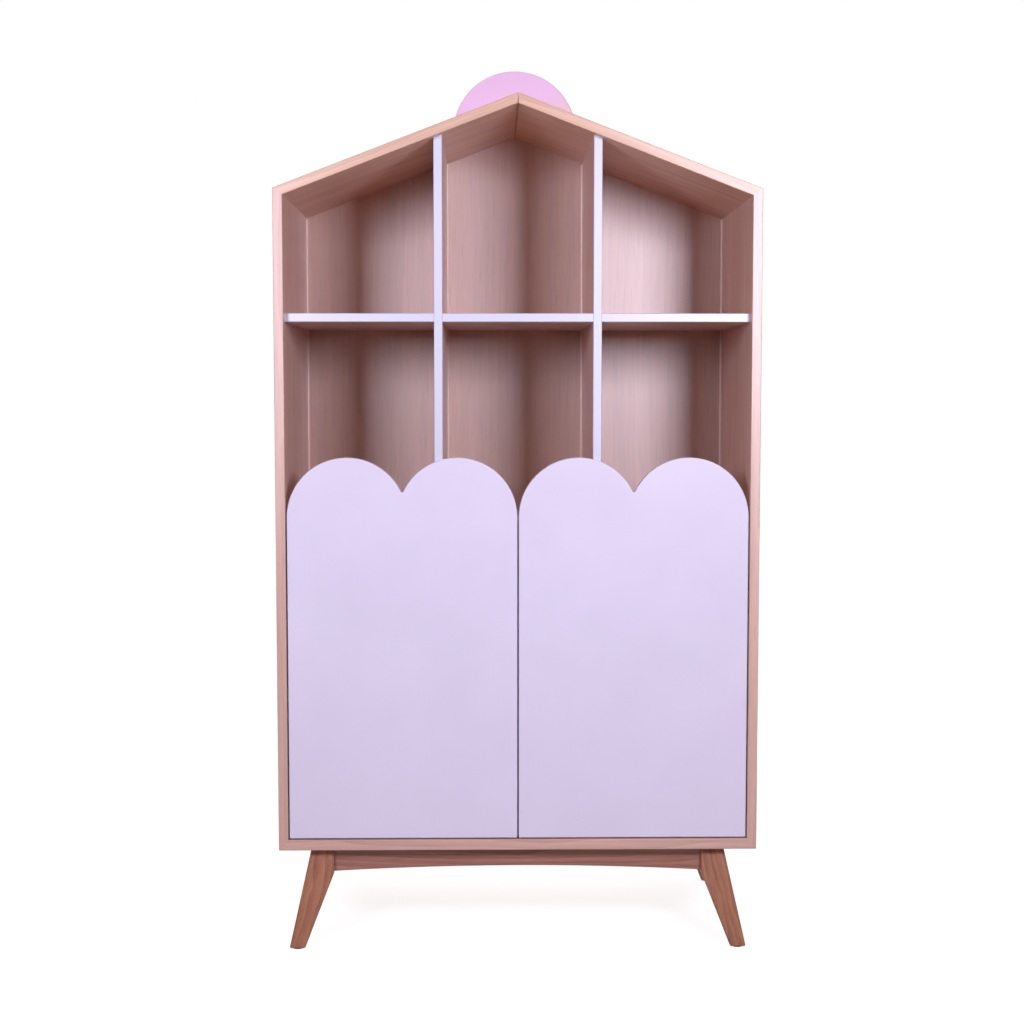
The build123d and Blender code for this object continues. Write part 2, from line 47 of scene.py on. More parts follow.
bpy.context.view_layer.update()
scene = bpy.context.scene
mm = 0.001
fullTurn = 2 * math.pi
random.seed(7)
print("frame loaded,", len(nodes), "pieces")

# Places that several pieces use, all read from the frame
panelLow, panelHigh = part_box("back_panel")
upperLow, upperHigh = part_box("upper_shelf_middle")
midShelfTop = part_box("mid_shelf")[1].z
sideLow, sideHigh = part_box("right_side")
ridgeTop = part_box("right_roof")[1].z
dividerLow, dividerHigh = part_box("right_divider")
boardThickness = sideHigh.x - sideLow.x
roofAngle = math.atan2(ridgeTop - sideHigh.z, sideHigh.x)


def tone(red, green, blue):   # a screen colour, 0 to 255, as the shaders want it
    linear = []
    for value in (red, green, blue):
        share = value / 255
        linear.append(share / 12.92 if share <= 0.04045 else ((share + 0.055) / 1.055) ** 2.4)
    return (*linear, 1)


def feed(tree, node, inputs):   # links a socket, or sets a constant
    for key, value in inputs.items():
        if isinstance(value, bpy.types.NodeSocket):
            tree.links.new(value, node.inputs[key])
        else:
            node.inputs[key].default_value = value


def addNode(tree, kind, inputs, **settings):
    node = tree.nodes.new("ShaderNode" + kind)
    for key, value in settings.items():
        setattr(node, key, value)
    feed(tree, node, inputs)
    return node


def mixColour(tree, factor, first, second, blend="MIX"):
    sockets = {0: factor, 6: first, 7: second}
    return addNode(tree, "Mix", sockets, data_type="RGBA", blend_type=blend).outputs[2]


def mixValue(tree, factor, first, second):
    return addNode(tree, "Mix", {0: factor, 2: first, 3: second}).outputs[0]


def calc(tree, operation, first, second=0.0, clamp=False):
    return addNode(tree, "Math", {0: first, 1: second}, operation=operation, use_clamp=clamp).outputs[0]


def spread(tree, value, low, high, outLow=0.0, outHigh=1.0):   # clamps and stretches a value
    return addNode(tree, "MapRange", {0: value, 1: low, 2: high, 3: outLow, 4: outHigh}).outputs[0]


def vectorCalc(tree, operation, first, second):
    return addNode(tree, "VectorMath", {0: first, 1: second}, operation=operation).outputs[0]


def scaled(tree, vector, factor):
    return addNode(tree, "VectorMath", {0: vector, 3: factor}, operation="SCALE").outputs[0]


def splitAxes(tree, vector):
    return addNode(tree, "SeparateXYZ", {0: vector}).outputs


def newGroup(name, inputs, outputs):
    group = bpy.data.node_groups.new(name, "ShaderNodeTree")
    newSocket = group.interface.new_socket
    for socketName, kind, value in inputs:
        socket = newSocket(socketName, in_out="INPUT", socket_type="NodeSocket" + kind)
        if value is not None:
            socket.default_value = value
    for socketName, kind in outputs:
        newSocket(socketName, in_out="OUTPUT", socket_type="NodeSocket" + kind)
    return group, group.nodes.new("NodeGroupInput"), group.nodes.new("NodeGroupOutput")


def useGroup(tree, group, inputs):
    node = tree.nodes.new("ShaderNodeGroup")
    node.node_tree = group
    feed(tree, node, inputs)
    return node.outputs


def noiseNode(tree, vector, scale, detail, roughness=0.5):
    sockets = {"Vector": vector, "Scale": scale, "Detail": detail, "Roughness": roughness}
    return addNode(tree, "TexNoise", sockets)


def noise(tree, vector, scale, detail, roughness=0.5):
    return noiseNode(tree, vector, scale, detail, roughness).outputs[0]


def stretched(tree, vector, lengthShare):   # makes a pattern longer along Z
    return addNode(tree, "Mapping", {"Vector": vector, "Scale": (1, 1, lengthShare)}).outputs[0]


# Wood grain along Z of its vector: warped streaks, flat-sawn figure and open pores.
# Each noise has its stretch, scale, detail and roughness, and the share that it gives to the tone.
grainLook = dict(
    sway=dict(stretch=0.3, scale=5.0, detail=2.0, rough=0.5, reach=0.022),
    broad=dict(stretch=0.05, scale=26.0, detail=3.0, rough=0.5, share=0.42),
    streak=dict(stretch=0.028, scale=120.0, detail=3.0, rough=0.6, share=0.4),
    fine=dict(stretch=0.02, scale=420.0, detail=2.0, rough=0.6, share=0.18),
    pore=dict(stretch=0.03, scale=620.0, detail=1.0, rough=0.5, start=0.58, full=0.7, dark=0.55),
    ringStretch=0.09,
    rings={"Scale": 20.0, "Distortion": 11.0, "Detail": 2.0, "Detail Scale": 1.2, "Detail Roughness": 0.55},
    relief=dict(streak=0.7, pore=0.5, fine=0.3),
)
noiseMiddle = (0.3, 0.7)   # where nearly all of a noise's values lie


def buildWoodGrain():
    tree, groupIn, groupOut = newGroup(
        "woodGrain",
        [("Vector", "Vector", None), ("Dark", "Color", (0.2, 0.1, 0.05, 1)),
         ("Light", "Color", (0.5, 0.3, 0.2, 1)), ("Figure", "Float", 0.35), ("Pores", "Float", 0.6),
         ("Scale", "Float", 1.0)],
        [("Color", "Color"), ("Height", "Float"), ("Tone", "Float")],
    )
    start = groupIn.outputs
    look = grainLook
    sized = scaled(tree, start["Vector"], start["Scale"])
    sway = look["sway"]
    long = stretched(tree, sized, sway["stretch"])
    slow = noiseNode(tree, long, sway["scale"], sway["detail"], sway["rough"])
    centred = vectorCalc(tree, "SUBTRACT", slow.outputs["Color"], (0.5, 0.5, 0.5))
    warped = vectorCalc(tree, "ADD", sized, scaled(tree, centred, sway["reach"]))

    def layer(name):
        part = look[name]
        vector = stretched(tree, warped, part["stretch"])
        return noise(tree, vector, part["scale"], part["detail"], part["rough"])

    def toneShare(name, value):
        return spread(tree, value, *noiseMiddle, 0.0, look[name]["share"])

    broad, streak, fine = layer("broad"), layer("streak"), layer("fine")
    pore = spread(tree, layer("pore"), look["pore"]["start"], look["pore"]["full"])
    rings = addNode(
        tree, "TexWave", {"Vector": stretched(tree, warped, look["ringStretch"]), **look["rings"]},
        wave_type="BANDS", bands_direction="X", wave_profile="SAW",
    ).outputs["Fac"]
    base = calc(tree, "ADD", toneShare("broad", broad), toneShare("streak", streak))
    base = calc(tree, "ADD", base, toneShare("fine", fine))
    figured = mixValue(tree, start["Figure"], base, rings)
    wood = mixColour(tree, figured, start["Dark"], start["Light"])
    poreMask = calc(tree, "MULTIPLY", pore, start["Pores"])
    poreTone = mixColour(tree, look["pore"]["dark"], wood, start["Dark"], "MULTIPLY")
    wood = mixColour(tree, poreMask, wood, poreTone)
    raised = calc(tree, "MULTIPLY", streak, look["relief"]["streak"])
    sunk = calc(tree, "MULTIPLY", poreMask, look["relief"]["pore"])
    height = calc(tree, "SUBTRACT", raised, sunk)
    height = calc(tree, "ADD", height, calc(tree, "MULTIPLY", fine, look["relief"]["fine"]))
    feed(tree, groupOut, {"Color": wood, "Height": height, "Tone": figured})
    return tree


woodGrain = buildWoodGrain()

# Edge wear: how far the rounded normal leans away from the face, broken up by a fine noise
wearLook = dict(
    samples=4, leanStart=0.995, leanFull=0.8,
    patchScale=90.0, patchDetail=3.0, patchLow=0.35, patchHigh=0.6, leastPatch=0.35,
)


def buildEdgeWear():
    tree, groupIn, groupOut = newGroup(
        "edgeWear",
        [("Vector", "Vector", None), ("Radius", "Float", 0.0015), ("Amount", "Float", 0.6)],
        [("Wear", "Float"), ("Normal", "Vector")],
    )
    start = groupIn.outputs
    look = wearLook
    rounded = addNode(tree, "Bevel", {"Radius": start["Radius"]}, samples=look["samples"]).outputs[0]
    flat = tree.nodes.new("ShaderNodeNewGeometry").outputs["Normal"]
    dot = addNode(tree, "VectorMath", {0: rounded, 1: flat}, operation="DOT_PRODUCT")
    edge = spread(tree, dot.outputs["Value"], look["leanStart"], look["leanFull"])
    patches = noise(tree, start["Vector"], look["patchScale"], look["patchDetail"])
    patchy = spread(tree, patches, look["patchLow"], look["patchHigh"], look["leastPatch"], 1.0)
    worn = calc(tree, "MULTIPLY", calc(tree, "MULTIPLY", edge, patchy), start["Amount"], True)
    feed(tree, groupOut, {"Wear": worn, "Normal": rounded})
    return tree


edgeWear = buildEdgeWear()

# A sprayed or rolled coat: cloudy tone, a fine orange peel and a few dust specks
coatLook = dict(
    cloudScale=7.0, cloudDetail=4.0, cloudRough=0.6, cloudShade=(0.25, 0.2, 0.3, 1),
    peelScale=480.0, peelDetail=2.0,
    speckScale=260.0, speckLow=0.8, speckHigh=0.84, speckHeight=0.6,
)


def buildPaintCoat():
    tree, groupIn, groupOut = newGroup(
        "paintCoat",
        [("Vector", "Vector", None), ("Color", "Color", (0.8, 0.8, 0.8, 1)), ("Clouds", "Float", 0.05)],
        [("Color", "Color"), ("Height", "Float"), ("Clouds", "Float")],
    )
    start = groupIn.outputs
    look = coatLook
    clouds = noise(tree, start["Vector"], look["cloudScale"], look["cloudDetail"], look["cloudRough"])
    peel = noise(tree, start["Vector"], look["peelScale"], look["peelDetail"])
    dust = noise(tree, start["Vector"], look["speckScale"], 0.0)
    speck = spread(tree, dust, look["speckLow"], look["speckHigh"])
    darker = mixColour(tree, start["Clouds"], start["Color"], look["cloudShade"], "MULTIPLY")
    tinted = mixColour(tree, spread(tree, clouds, *noiseMiddle), darker, start["Color"])
    height = calc(tree, "ADD", peel, calc(tree, "MULTIPLY", speck, look["speckHeight"]))
    feed(tree, groupOut, {"Color": tinted, "Height": height, "Clouds": clouds})
    return tree


paintCoat = buildPaintCoat()
print("shared node groups built")


def newMaterial(name):
    material = bpy.data.materials.new(name)
    material.use_nodes = True
    tree = material.node_tree
    tree.nodes.clear()
    output = tree.nodes.new("ShaderNodeOutputMaterial")
    shader = tree.nodes.new("ShaderNodeBsdfPrincipled")
    tree.links.new(shader.outputs[0], output.inputs["Surface"])
    place = tree.nodes.new("ShaderNodeTexCoord").outputs["Object"]
    return material, tree, shader, place


def bumped(tree, shader, height, strength, distance, normal):
    sockets = {"Height": height, "Strength": strength, "Distance": distance, "Normal": normal}
    tree.links.new(addNode(tree, "Bump", sockets).outputs[0], shader.inputs["Normal"])


# Wood finishes: two tones, the grain, the varnish and its haze
woodLooks = {
    "case": dict(dark=tone(180, 128, 102), light=tone(228, 182, 154), figure=0.3, pores=0.4, scale=1.0,
                 rough=0.5, coat=1.0, coatRough=0.5, coatIor=2.7, bump=0.25, sheen=0.3),
    "roof": dict(dark=tone(176, 116, 74), light=tone(238, 186, 138), figure=0.3, pores=0.4, scale=1.0,
                 rough=0.5, coat=1.0, coatRough=0.5, coatIor=2.6, bump=0.3, sheen=0.1),
    "bottom": dict(dark=tone(182, 126, 102), light=tone(236, 188, 162), figure=0.35, pores=0.4, scale=1.0,
                   rough=0.5, coat=1.0, coatRough=0.5, coatIor=2.8, bump=0.25, sheen=0.2),
    # the bead's tones are much paler than the case oak: a painted highlight along the back corners
    "bead": dict(dark=tone(214, 176, 156), light=tone(246, 222, 206), figure=0.2, pores=0.3, scale=1.0,
                 rough=0.5, coat=1.0, coatRough=0.5, coatIor=2.6, bump=0.2, sheen=0.1),
    "leg": dict(dark=tone(124, 72, 46), light=tone(190, 132, 96), figure=0.4, pores=0.4, scale=1.1,
                rough=0.46, coat=0.4, coatRough=0.4, coatIor=1.5, bump=0.25, sheen=0.0),
    "panel": dict(dark=tone(154, 90, 50), light=tone(206, 136, 82), figure=0.16, pores=0.7, scale=0.8,
                  rough=0.5, coat=1.0, coatRough=0.5, coatIor=4.0, bump=0.8, sheen=0.3),
    "base": dict(dark=tone(128, 78, 62), light=tone(186, 134, 112), figure=0.4, pores=0.4, scale=1.1,
                 rough=0.46, coat=0.4, coatRough=0.4, coatIor=1.5, bump=0.25, sheen=0.0),
    "plain": dict(dark=tone(190, 150, 112), light=tone(226, 196, 156), figure=0.45, pores=0.2, scale=1.0,
                  rough=0.62, coat=0.0, coatRough=0.3, coatIor=1.5, bump=0.3, sheen=0.0),
}
woodFinish = dict(
    wearRadius=1.2 * mm, wearAmount=0.35, wearLift=0.5, relief=0.25 * mm,
    darkGrain=0.2, lightGrain=0.8, duller=0.06, shinier=0.04,   # dark grain is the duller
    sheenRough=0.5, sheenTint=(1, 0.9, 0.95, 1),
    edgePaint=tone(203, 206, 224), edgeClouds=0.06, edgeRough=0.42,   # front edges of dividers and shelves
    bareTone=tone(206, 176, 146), bareShare=0.35, bareRough=0.66,   # the side that faces the wall
)


def woodMaterial(name, look, turn=(0, 0, 0), frontPaint=None, bareBehind=None):
    # turn brings the board's length onto Z; frontPaint and bareBehind are places along Y
    settings = woodLooks[look]
    finish = woodFinish
    material, tree, shader, place = newMaterial(name)
    shift = [random.uniform(-3, 3) for axis in range(3)]   # no two boards have the same grain
    turned = addNode(tree, "Mapping", {"Vector": place, "Rotation": turn, "Location": shift}).outputs[0]
    grain = useGroup(tree, woodGrain, {
        "Vector": turned, "Dark": settings["dark"], "Light": settings["light"],
        "Figure": settings["figure"], "Pores": settings["pores"], "Scale": settings["scale"],
    })
    wear = useGroup(tree, edgeWear, {
        "Vector": place, "Radius": finish["wearRadius"], "Amount": finish["wearAmount"],
    })
    rubbed = mixColour(tree, finish["wearLift"], grain["Color"], settings["light"])
    colour = mixColour(tree, wear["Wear"], grain["Color"], rubbed)
    dull = settings["rough"] + finish["duller"]
    shiny = settings["rough"] - finish["shinier"]
    rough = spread(tree, grain["Tone"], finish["darkGrain"], finish["lightGrain"], dull, shiny)
    height = grain["Height"]
    if frontPaint is not None:
        painted = calc(tree, "LESS_THAN", splitAxes(tree, place)["Y"], frontPaint)
        coat = useGroup(tree, paintCoat, {
            "Vector": place, "Color": finish["edgePaint"], "Clouds": finish["edgeClouds"],
        })
        colour = mixColour(tree, painted, colour, coat["Color"])
        rough = mixValue(tree, painted, rough, finish["edgeRough"])
        height = mixValue(tree, painted, height, coat["Height"])
    if bareBehind is not None:
        bare = calc(tree, "GREATER_THAN", splitAxes(tree, place)["Y"], bareBehind)
        bareColour = mixColour(tree, finish["bareShare"], colour, finish["bareTone"])
        colour = mixColour(tree, bare, colour, bareColour)
        rough = mixValue(tree, bare, rough, finish["bareRough"])
    feed(tree, shader, {
        "Base Color": colour, "Roughness": rough, "Coat Weight": settings["coat"],
        "Coat Roughness": settings["coatRough"], "Coat IOR": settings["coatIor"],
        "Sheen Weight": settings["sheen"], "Sheen Roughness": finish["sheenRough"],
        "Sheen Tint": finish["sheenTint"],
    })
    bumped(tree, shader, height, settings["bump"], finish["relief"], wear["Normal"])
    return material


paintFinish = dict(
    wearRadius=1.5 * mm, wearAmount=0.3, wornTone=tone(246, 240, 250),
    roughSwing=0.05, bump=0.06, relief=0.2 * mm,
)


def paintMaterial(name, colour, rough, clouds, paintedBounce=None):
    # the second tone low on the piece is painted light: its colour, its two heights and its slant across the
    # piece
    material, tree, shader, place = newMaterial(name)
    finish = paintFinish
    base = colour
    if paintedBounce:
        along = splitAxes(tree, place)
        slant = calc(tree, "SUBTRACT", along["Z"], calc(tree, "MULTIPLY", along["X"], paintedBounce["slant"]))
        base = mixColour(tree, spread(tree, slant, paintedBounce["start"], paintedBounce["end"]), paintedBounce["colour"], colour)
    coat = useGroup(tree, paintCoat, {"Vector": place, "Color": base, "Clouds": clouds})
    wear = useGroup(tree, edgeWear, {
        "Vector": place, "Radius": finish["wearRadius"], "Amount": finish["wearAmount"],
    })
    swing = finish["roughSwing"]
    feed(tree, shader, {
        "Base Color": mixColour(tree, wear["Wear"], coat["Color"], finish["wornTone"]),
        "Roughness": spread(tree, coat["Clouds"], *noiseMiddle, rough - swing, rough + swing),
    })
    bumped(tree, shader, coat["Height"], finish["bump"], finish["relief"], wear["Normal"])
    return material


metalFinish = dict(
    lineStretch=0.08, lineScale=900.0, lineDetail=2.0, lineBump=0.3, relief=0.05 * mm,
    smudgeScale=60.0, smudgeDetail=3.0, smudgeLow=0.35, smudgeHigh=0.7, smudgeMost=0.35,
    smudgeTone=(0.2, 0.19, 0.18, 1), shinier=0.06, duller=0.1,
    wearRadius=0.4 * mm, wearAmount=0.7, wornTone=(0.9, 0.9, 0.88, 1),
)


def metalMaterial(name, colour, rough):
    material, tree, shader, place = newMaterial(name)
    finish = metalFinish
    long = stretched(tree, place, finish["lineStretch"])
    lines = noise(tree, long, finish["lineScale"], finish["lineDetail"])
    smudge = noise(tree, place, finish["smudgeScale"], finish["smudgeDetail"])
    wear = useGroup(tree, edgeWear, {
        "Vector": place, "Radius": finish["wearRadius"], "Amount": finish["wearAmount"],
    })
    smudged = spread(tree, smudge, finish["smudgeLow"], finish["smudgeHigh"], 0.0, finish["smudgeMost"])
    dull = mixColour(tree, smudged, colour, finish["smudgeTone"], "MULTIPLY")
    feed(tree, shader, {
        "Base Color": mixColour(tree, wear["Wear"], dull, finish["wornTone"]),
        "Roughness": spread(tree, smudge, *noiseMiddle, rough - finish["shinier"], rough + finish["duller"]),
        "Metallic": 1.0,
    })
    bumped(tree, shader, lines, finish["lineBump"], finish["relief"], wear["Normal"])
    return material


plasticFinish = dict(
    gritScale=1500.0, gritDetail=1.0, gritBump=0.2, relief=0.1 * mm,
    cloudScale=40.0, cloudDetail=3.0, cloudMost=0.2, cloudTone=(0.5, 0.5, 0.5, 1), shinier=0.05, duller=0.08,
    wearRadius=0.6 * mm, wearAmount=0.5, wornShare=0.35, wornTone=(0.9, 0.9, 0.9, 1),
)


def plasticMaterial(name, colour, rough):
    material, tree, shader, place = newMaterial(name)
    finish = plasticFinish
    grit = noise(tree, place, finish["gritScale"], finish["gritDetail"])
    cloud = noise(tree, place, finish["cloudScale"], finish["cloudDetail"])
    wear = useGroup(tree, edgeWear, {
        "Vector": place, "Radius": finish["wearRadius"], "Amount": finish["wearAmount"],
    })
    cloudy = spread(tree, cloud, *noiseMiddle, 0.0, finish["cloudMost"])
    shade = mixColour(tree, cloudy, colour, finish["cloudTone"], "MULTIPLY")
    worn = mixColour(tree, finish["wornShare"], shade, finish["wornTone"])
    feed(tree, shader, {
        "Base Color": mixColour(tree, wear["Wear"], shade, worn),
        "Roughness": spread(tree, cloud, *noiseMiddle, rough - finish["shinier"], rough + finish["duller"]),
    })
    bumped(tree, shader, grit, finish["gritBump"], finish["relief"], wear["Normal"])
    return material


def dress(nodeName, material):
    for slot in nodes[nodeName].material_slots:
        slot.material = material


# Case boards: the grain follows each board's length
quarter = math.pi / 2
alongX = (0, quarter, 0)
alongY = (quarter, 0, 0)
caseBoards = {
    "left_side": (0, 0, 0), "right_side": (0, 0, 0), "lower_partition": (0, 0, 0),
    "bottom_board": alongX, "mid_shelf": alongX, "lower_shelf_left": alongX, "lower_shelf_right": alongX,
    "left_roof": (0, quarter + roofAngle, 0), "right_roof": (0, quarter - roofAngle, 0),
}
for nodeName, turn in caseBoards.items():
    look = {"left_roof": "roof", "right_roof": "roof", "bottom_board": "bottom"}.get(nodeName, "case")
    dress(nodeName, woodMaterial("oak_" + nodeName, look, turn))

paintedDepth = 1.1 * mm   # the front paint wraps just past the eased edge
paintEnd = upperLow.y + paintedDepth
for nodeName in ("left_divider", "right_divider"):
    dress(nodeName, woodMaterial("oak_" + nodeName, "case", frontPaint=paintEnd))
for nodeName in ("upper_shelf_left", "upper_shelf_middle", "upper_shelf_right"):
    dress(nodeName, woodMaterial("oak_" + nodeName, "case", alongX, frontPaint=paintEnd))
panelMiddle = (panelLow.y + panelHigh.y) / 2
dress("back_panel", woodMaterial("oak_back_panel", "panel", bareBehind=panelMiddle))

# Base: rails along their length, legs along their lean
leg = dict(leansOut=39 * mm, tall=183 * mm)
legLean = math.atan2(leg["leansOut"], leg["tall"])
for nodeName in ("front_apron", "rear_apron"):
    dress(nodeName, woodMaterial("ash_" + nodeName, "base", alongX))
for nodeName in ("left_apron", "right_apron"):
    dress(nodeName, woodMaterial("ash_" + nodeName, "base", alongY))
for sideName, way in (("left", -1), ("right", 1)):
    for endName in ("front", "rear"):
        nodeName = f"{endName}_{sideName}_leg"
        dress(nodeName, woodMaterial("ash_" + nodeName, "leg", (0, way * legLean, 0)))
dress("corner_blocks", woodMaterial("pine_corner_blocks", "plain"))
dress("joint_dowels", woodMaterial("beech_joint_dowels", "plain", alongX))
print("wood boards dressed")

doorPaint = paintMaterial("lavender_door_paint", tone(226, 221, 237), 0.4, 0.05)
dress("left_door", doorPaint)
dress("right_door", doorPaint)
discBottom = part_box("sun_disc")[0].z
# the paler peach tone low on the disc, by the roof, is painted light bounced up off the roof
discPaintedBounce = dict(colour=tone(248, 216, 214), start=discBottom + 62 * mm, end=discBottom + 112 * mm, slant=0.35)
dress("sun_disc", paintMaterial("pink_disc_paint_with_painted_bounce", tone(252, 212, 248), 0.42, 0.04, discPaintedBounce))

nickel = metalMaterial("nickel_plate", (0.72, 0.7, 0.67, 1), 0.24)
zinc = metalMaterial("zinc_plate", (0.62, 0.62, 0.63, 1), 0.34)
catchPlastic = plasticMaterial("brown_catch_plastic", tone(126, 98, 78), 0.45)
glidePlastic = plasticMaterial("grey_glide_plastic", tone(88, 84, 82), 0.5)
for nodeName in nodes:
    if "hinge" in nodeName or "cup_screws" in nodeName or "strike" in nodeName or nodeName == "shelf_pins":
        dress(nodeName, nickel)
    elif "screws" in nodeName or nodeName in ("leg_bolts", "bolt_washers"):
        dress(nodeName, zinc)
for nodeName in ("left_magnet_catch", "right_magnet_catch"):
    dress(nodeName, catchPlastic)
dress("foot_glides", glidePlastic)
print("paint, metal and plastic dressed")

tiny = 0.001 * mm   # closer than this is the same place
sharpAngle = math.radians(35)   # edges that turn by more than this stay sharp


def looseBoxes(nodeName):   # lowest and highest corner of every separate solid in a node
    shape = bmesh.new()
    shape.from_mesh(nodes[nodeName].data)
    bmesh.ops.remove_doubles(shape, verts=shape.verts, dist=tiny)
    left = set(shape.verts)
    boxes = []
    while left:
        reach = [left.pop()]
        for vert in reach:   # the list grows while it is walked
            for edge in vert.link_edges:
                other = edge.other_vert(vert)
                if other in left:
                    left.remove(other)
                    reach.append(other)
        low = Vector([min(vert.co[axis] for vert in reach) for axis in range(3)])
        high = Vector([max(vert.co[axis] for vert in reach) for axis in range(3)])
        boxes.append((low, high))
    shape.free()
    return sorted(boxes, key=lambda box: tuple(box[0]))


def addPiece(name, shape, body, material, replaced=()):   # frees the shape
    mesh = bpy.data.meshes.new(name)
    bmesh.ops.recalc_face_normals(shape, faces=shape.faces)
    shape.to_mesh(mesh)
    shape.free()
    mesh.materials.append(material)
    for face in mesh.polygons:
        face.use_smooth = True
    mesh.set_sharp_from_angle(angle=sharpAngle)
    piece = bpy.data.objects.new(name, mesh)
    scene.collection.objects.link(piece)
    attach(piece, body)
    if replaced:
        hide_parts(*replaced)


# Cross screws, one piece for each CAD screw node. In millimetres: the head's radius,
# its rise above the surface (0 is a sunk head) and the thread's radius. axis is 0 for X, 1 for Y, 2 for Z.
screwKinds = {
    "back_screws": dict(head=4.0, rise=1.6, shank=2.0, axis=1, finish=zinc, body="cabinet"),
    "disc_screws": dict(head=4.0, rise=1.6, shank=2.0, axis=1, finish=zinc, body="cabinet"),
    "base_screws": dict(head=4.5, rise=0, shank=2.5, axis=2, finish=zinc, body="cabinet"),
    "catch_screws": dict(head=3.4, rise=0, shank=1.75, axis=2, finish=nickel, body="cabinet"),
    "hinge_arm_screws": dict(head=4.0, rise=1.6, shank=2.0, axis=0, finish=nickel, body="cabinet"),
    "hinge_plate_screws": dict(head=3.8, rise=0, shank=2.0, axis=0, finish=nickel, body="cabinet"),
}
for sideName in ("left", "right"):
    doorScrew = dict(head=3.4, rise=0, shank=1.75, axis=1, finish=nickel, body=sideName + "_door_leaf")
    for nodeName in (sideName + "_cup_screws", sideName + "_strike_screw"):
        screwKinds[nodeName] = doorScrew
screwShape = dict(
    steps=24, pitch=1.8, neck=1.2,   # round facets, and millimetres
    root=0.7, point=2.2, longestPoint=0.35, tip=0.3, tipLength=0.5, underHead=0.9,   # shares of the thread
    flat=0.6, recessZone=0.65, recessReach=0.52, recessHalf=0.13,   # shares of the head's radius
    recessDepth=0.42, recessDraft=0.04, recessArm=0.4,   # the last one is where the arm's extra vertex stands
    dome=((0.78, 0.06), (0.93, 0.26), (1.0, 0.55), (1.0, 1.0)),   # of a raised head's radius and rise
    sunkRim=(0.97, 0.03),   # a sunk head's flat and its chamfer
)


def screwProfile(kind, length):   # radius and height, from the recess over the head and down to the point
    head, rise, shank = kind["head"], kind["rise"], kind["shank"]
    form = screwShape
    root, pitch = shank * form["root"], form["pitch"]
    if rise:
        top = [(outShare * head, -downShare * rise) for outShare, downShare in form["dome"]]
        under = rise
    else:
        flatShare, chamferShare = form["sunkRim"]
        top = [(flatShare * head, 0), (head, -chamferShare * head)]
        under = head - shank
    spots = [(form["flat"] * head, 0), *top, (form["underHead"] * shank, -under)]
    point = length - min(form["point"] * shank, form["longestPoint"] * length)
    depth = under + form["neck"]
    while depth + pitch < point:
        spots += [(root, -depth), (shank, -depth - pitch / 2)]
        depth += pitch
    spots += [(root, -point), (form["tip"] * shank, -length + form["tipLength"] * shank), (0, -length)]
    return [(radius * mm, height * mm) for radius, height in spots]


def crossSpot(index, headSize):   # where the ring's vertex goes on the outline of the cross
    reach, half = screwShape["recessReach"] * headSize, screwShape["recessHalf"] * headSize
    arm = half + screwShape["recessArm"] * (reach - half)
    spots = ((reach, 0), (reach, half), (arm, half), (half, half), (half, arm), (half, reach))
    quarterTurns, spot = divmod(index, len(spots))
    return Matrix.Rotation(fullTurn / 4 * quarterTurns, 2) @ Vector(spots[spot])


def screwMesh(name, kind, length):   # upright, with the top of its head at the origin
    shape = bmesh.new()
    form = screwShape
    verts = [shape.verts.new((radius, 0, height)) for radius, height in screwProfile(kind, length)]
    edges = [shape.edges.new(pair) for pair in zip(verts, verts[1:])]
    bmesh.ops.spin(shape, geom=verts + edges, axis=(0, 0, 1), cent=(0, 0, 0), angle=fullTurn,
                   steps=form["steps"], use_merge=True)
    bmesh.ops.remove_doubles(shape, verts=shape.verts, dist=tiny)
    headSize = kind["head"] * mm
    for vert in shape.verts:
        if abs(vert.co.z) < tiny and vert.co.xy.length < form["recessZone"] * headSize:
            turned = round(math.atan2(vert.co.y, vert.co.x) / fullTurn * form["steps"]) % form["steps"]
            vert.co.xy = crossSpot(turned, headSize)
    rim = [edge for edge in shape.edges if edge.is_boundary]
    filled = bmesh.ops.edgeloop_fill(shape, edges=rim)["faces"]
    bmesh.ops.recalc_face_normals(shape, faces=shape.faces)
    bmesh.ops.inset_individual(shape, faces=filled, thickness=form["recessDraft"] * headSize,
                               depth=-form["recessDepth"] * headSize)
    mesh = bpy.data.meshes.new(name)
    shape.to_mesh(mesh)
    shape.free()
    return mesh


def screwGroup(nodeName, kind):
    group = bmesh.new()
    axis = kind["axis"]
    upright = None
    for low, high in looseBoxes(nodeName):
        if upright is None:
            upright = screwMesh("one_" + nodeName, kind, (high[axis] - low[axis]) / mm)
        middle = (low + high) / 2
        way = Vector((0, 0, 0))   # the way that the head faces: into the case, to the rear or down
        way[axis] = (-math.copysign(1, middle.x), 1, -1)[axis]
        headPlace = middle.copy()
        headPlace[axis] = high[axis] if way[axis] > 0 else low[axis]
        done = len(group.verts)
        group.from_mesh(upright)
        group.verts.ensure_lookup_table()
        added = group.verts[done:]
        turn = way.to_track_quat("Z", "Y").to_matrix().to_4x4()
        spun = Matrix.Rotation(random.uniform(0, fullTurn / 4), 4, "Z")
        bmesh.ops.transform(group, matrix=Matrix.Translation(headPlace) @ turn @ spun, verts=added)
    bpy.data.meshes.remove(upright)
    addPiece("cross_" + nodeName, group, kind["body"], kind["finish"], (nodeName,))


for nodeName, kind in screwKinds.items():
    screwGroup(nodeName, kind)
print("screws set")


# Steel pole plates and the magnet between them, in the front of each catch
catchFront = dict(
    poleThick=1.4 * mm, poleLong=22 * mm, poleFromMiddle=3.4 * mm, polesProud=0.2 * mm,
    magnetTall=4 * mm, magnetLong=20 * mm, magnetProud=0.05 * mm, deep=8 * mm, eased=0.3 * mm,
)


def easedBox(shape, middle, size):
    made = bmesh.ops.create_cube(shape, size=1)["verts"]
    bmesh.ops.scale(shape, vec=size, verts=made)
    bmesh.ops.translate(shape, vec=middle, verts=made)
    edges = list({edge for vert in made for edge in vert.link_edges})
    bmesh.ops.bevel(shape, geom=edges, offset=catchFront["eased"], offset_type="OFFSET", segments=2,
                    profile=0.5, affect="EDGES", clamp_overlap=True, material=-1)


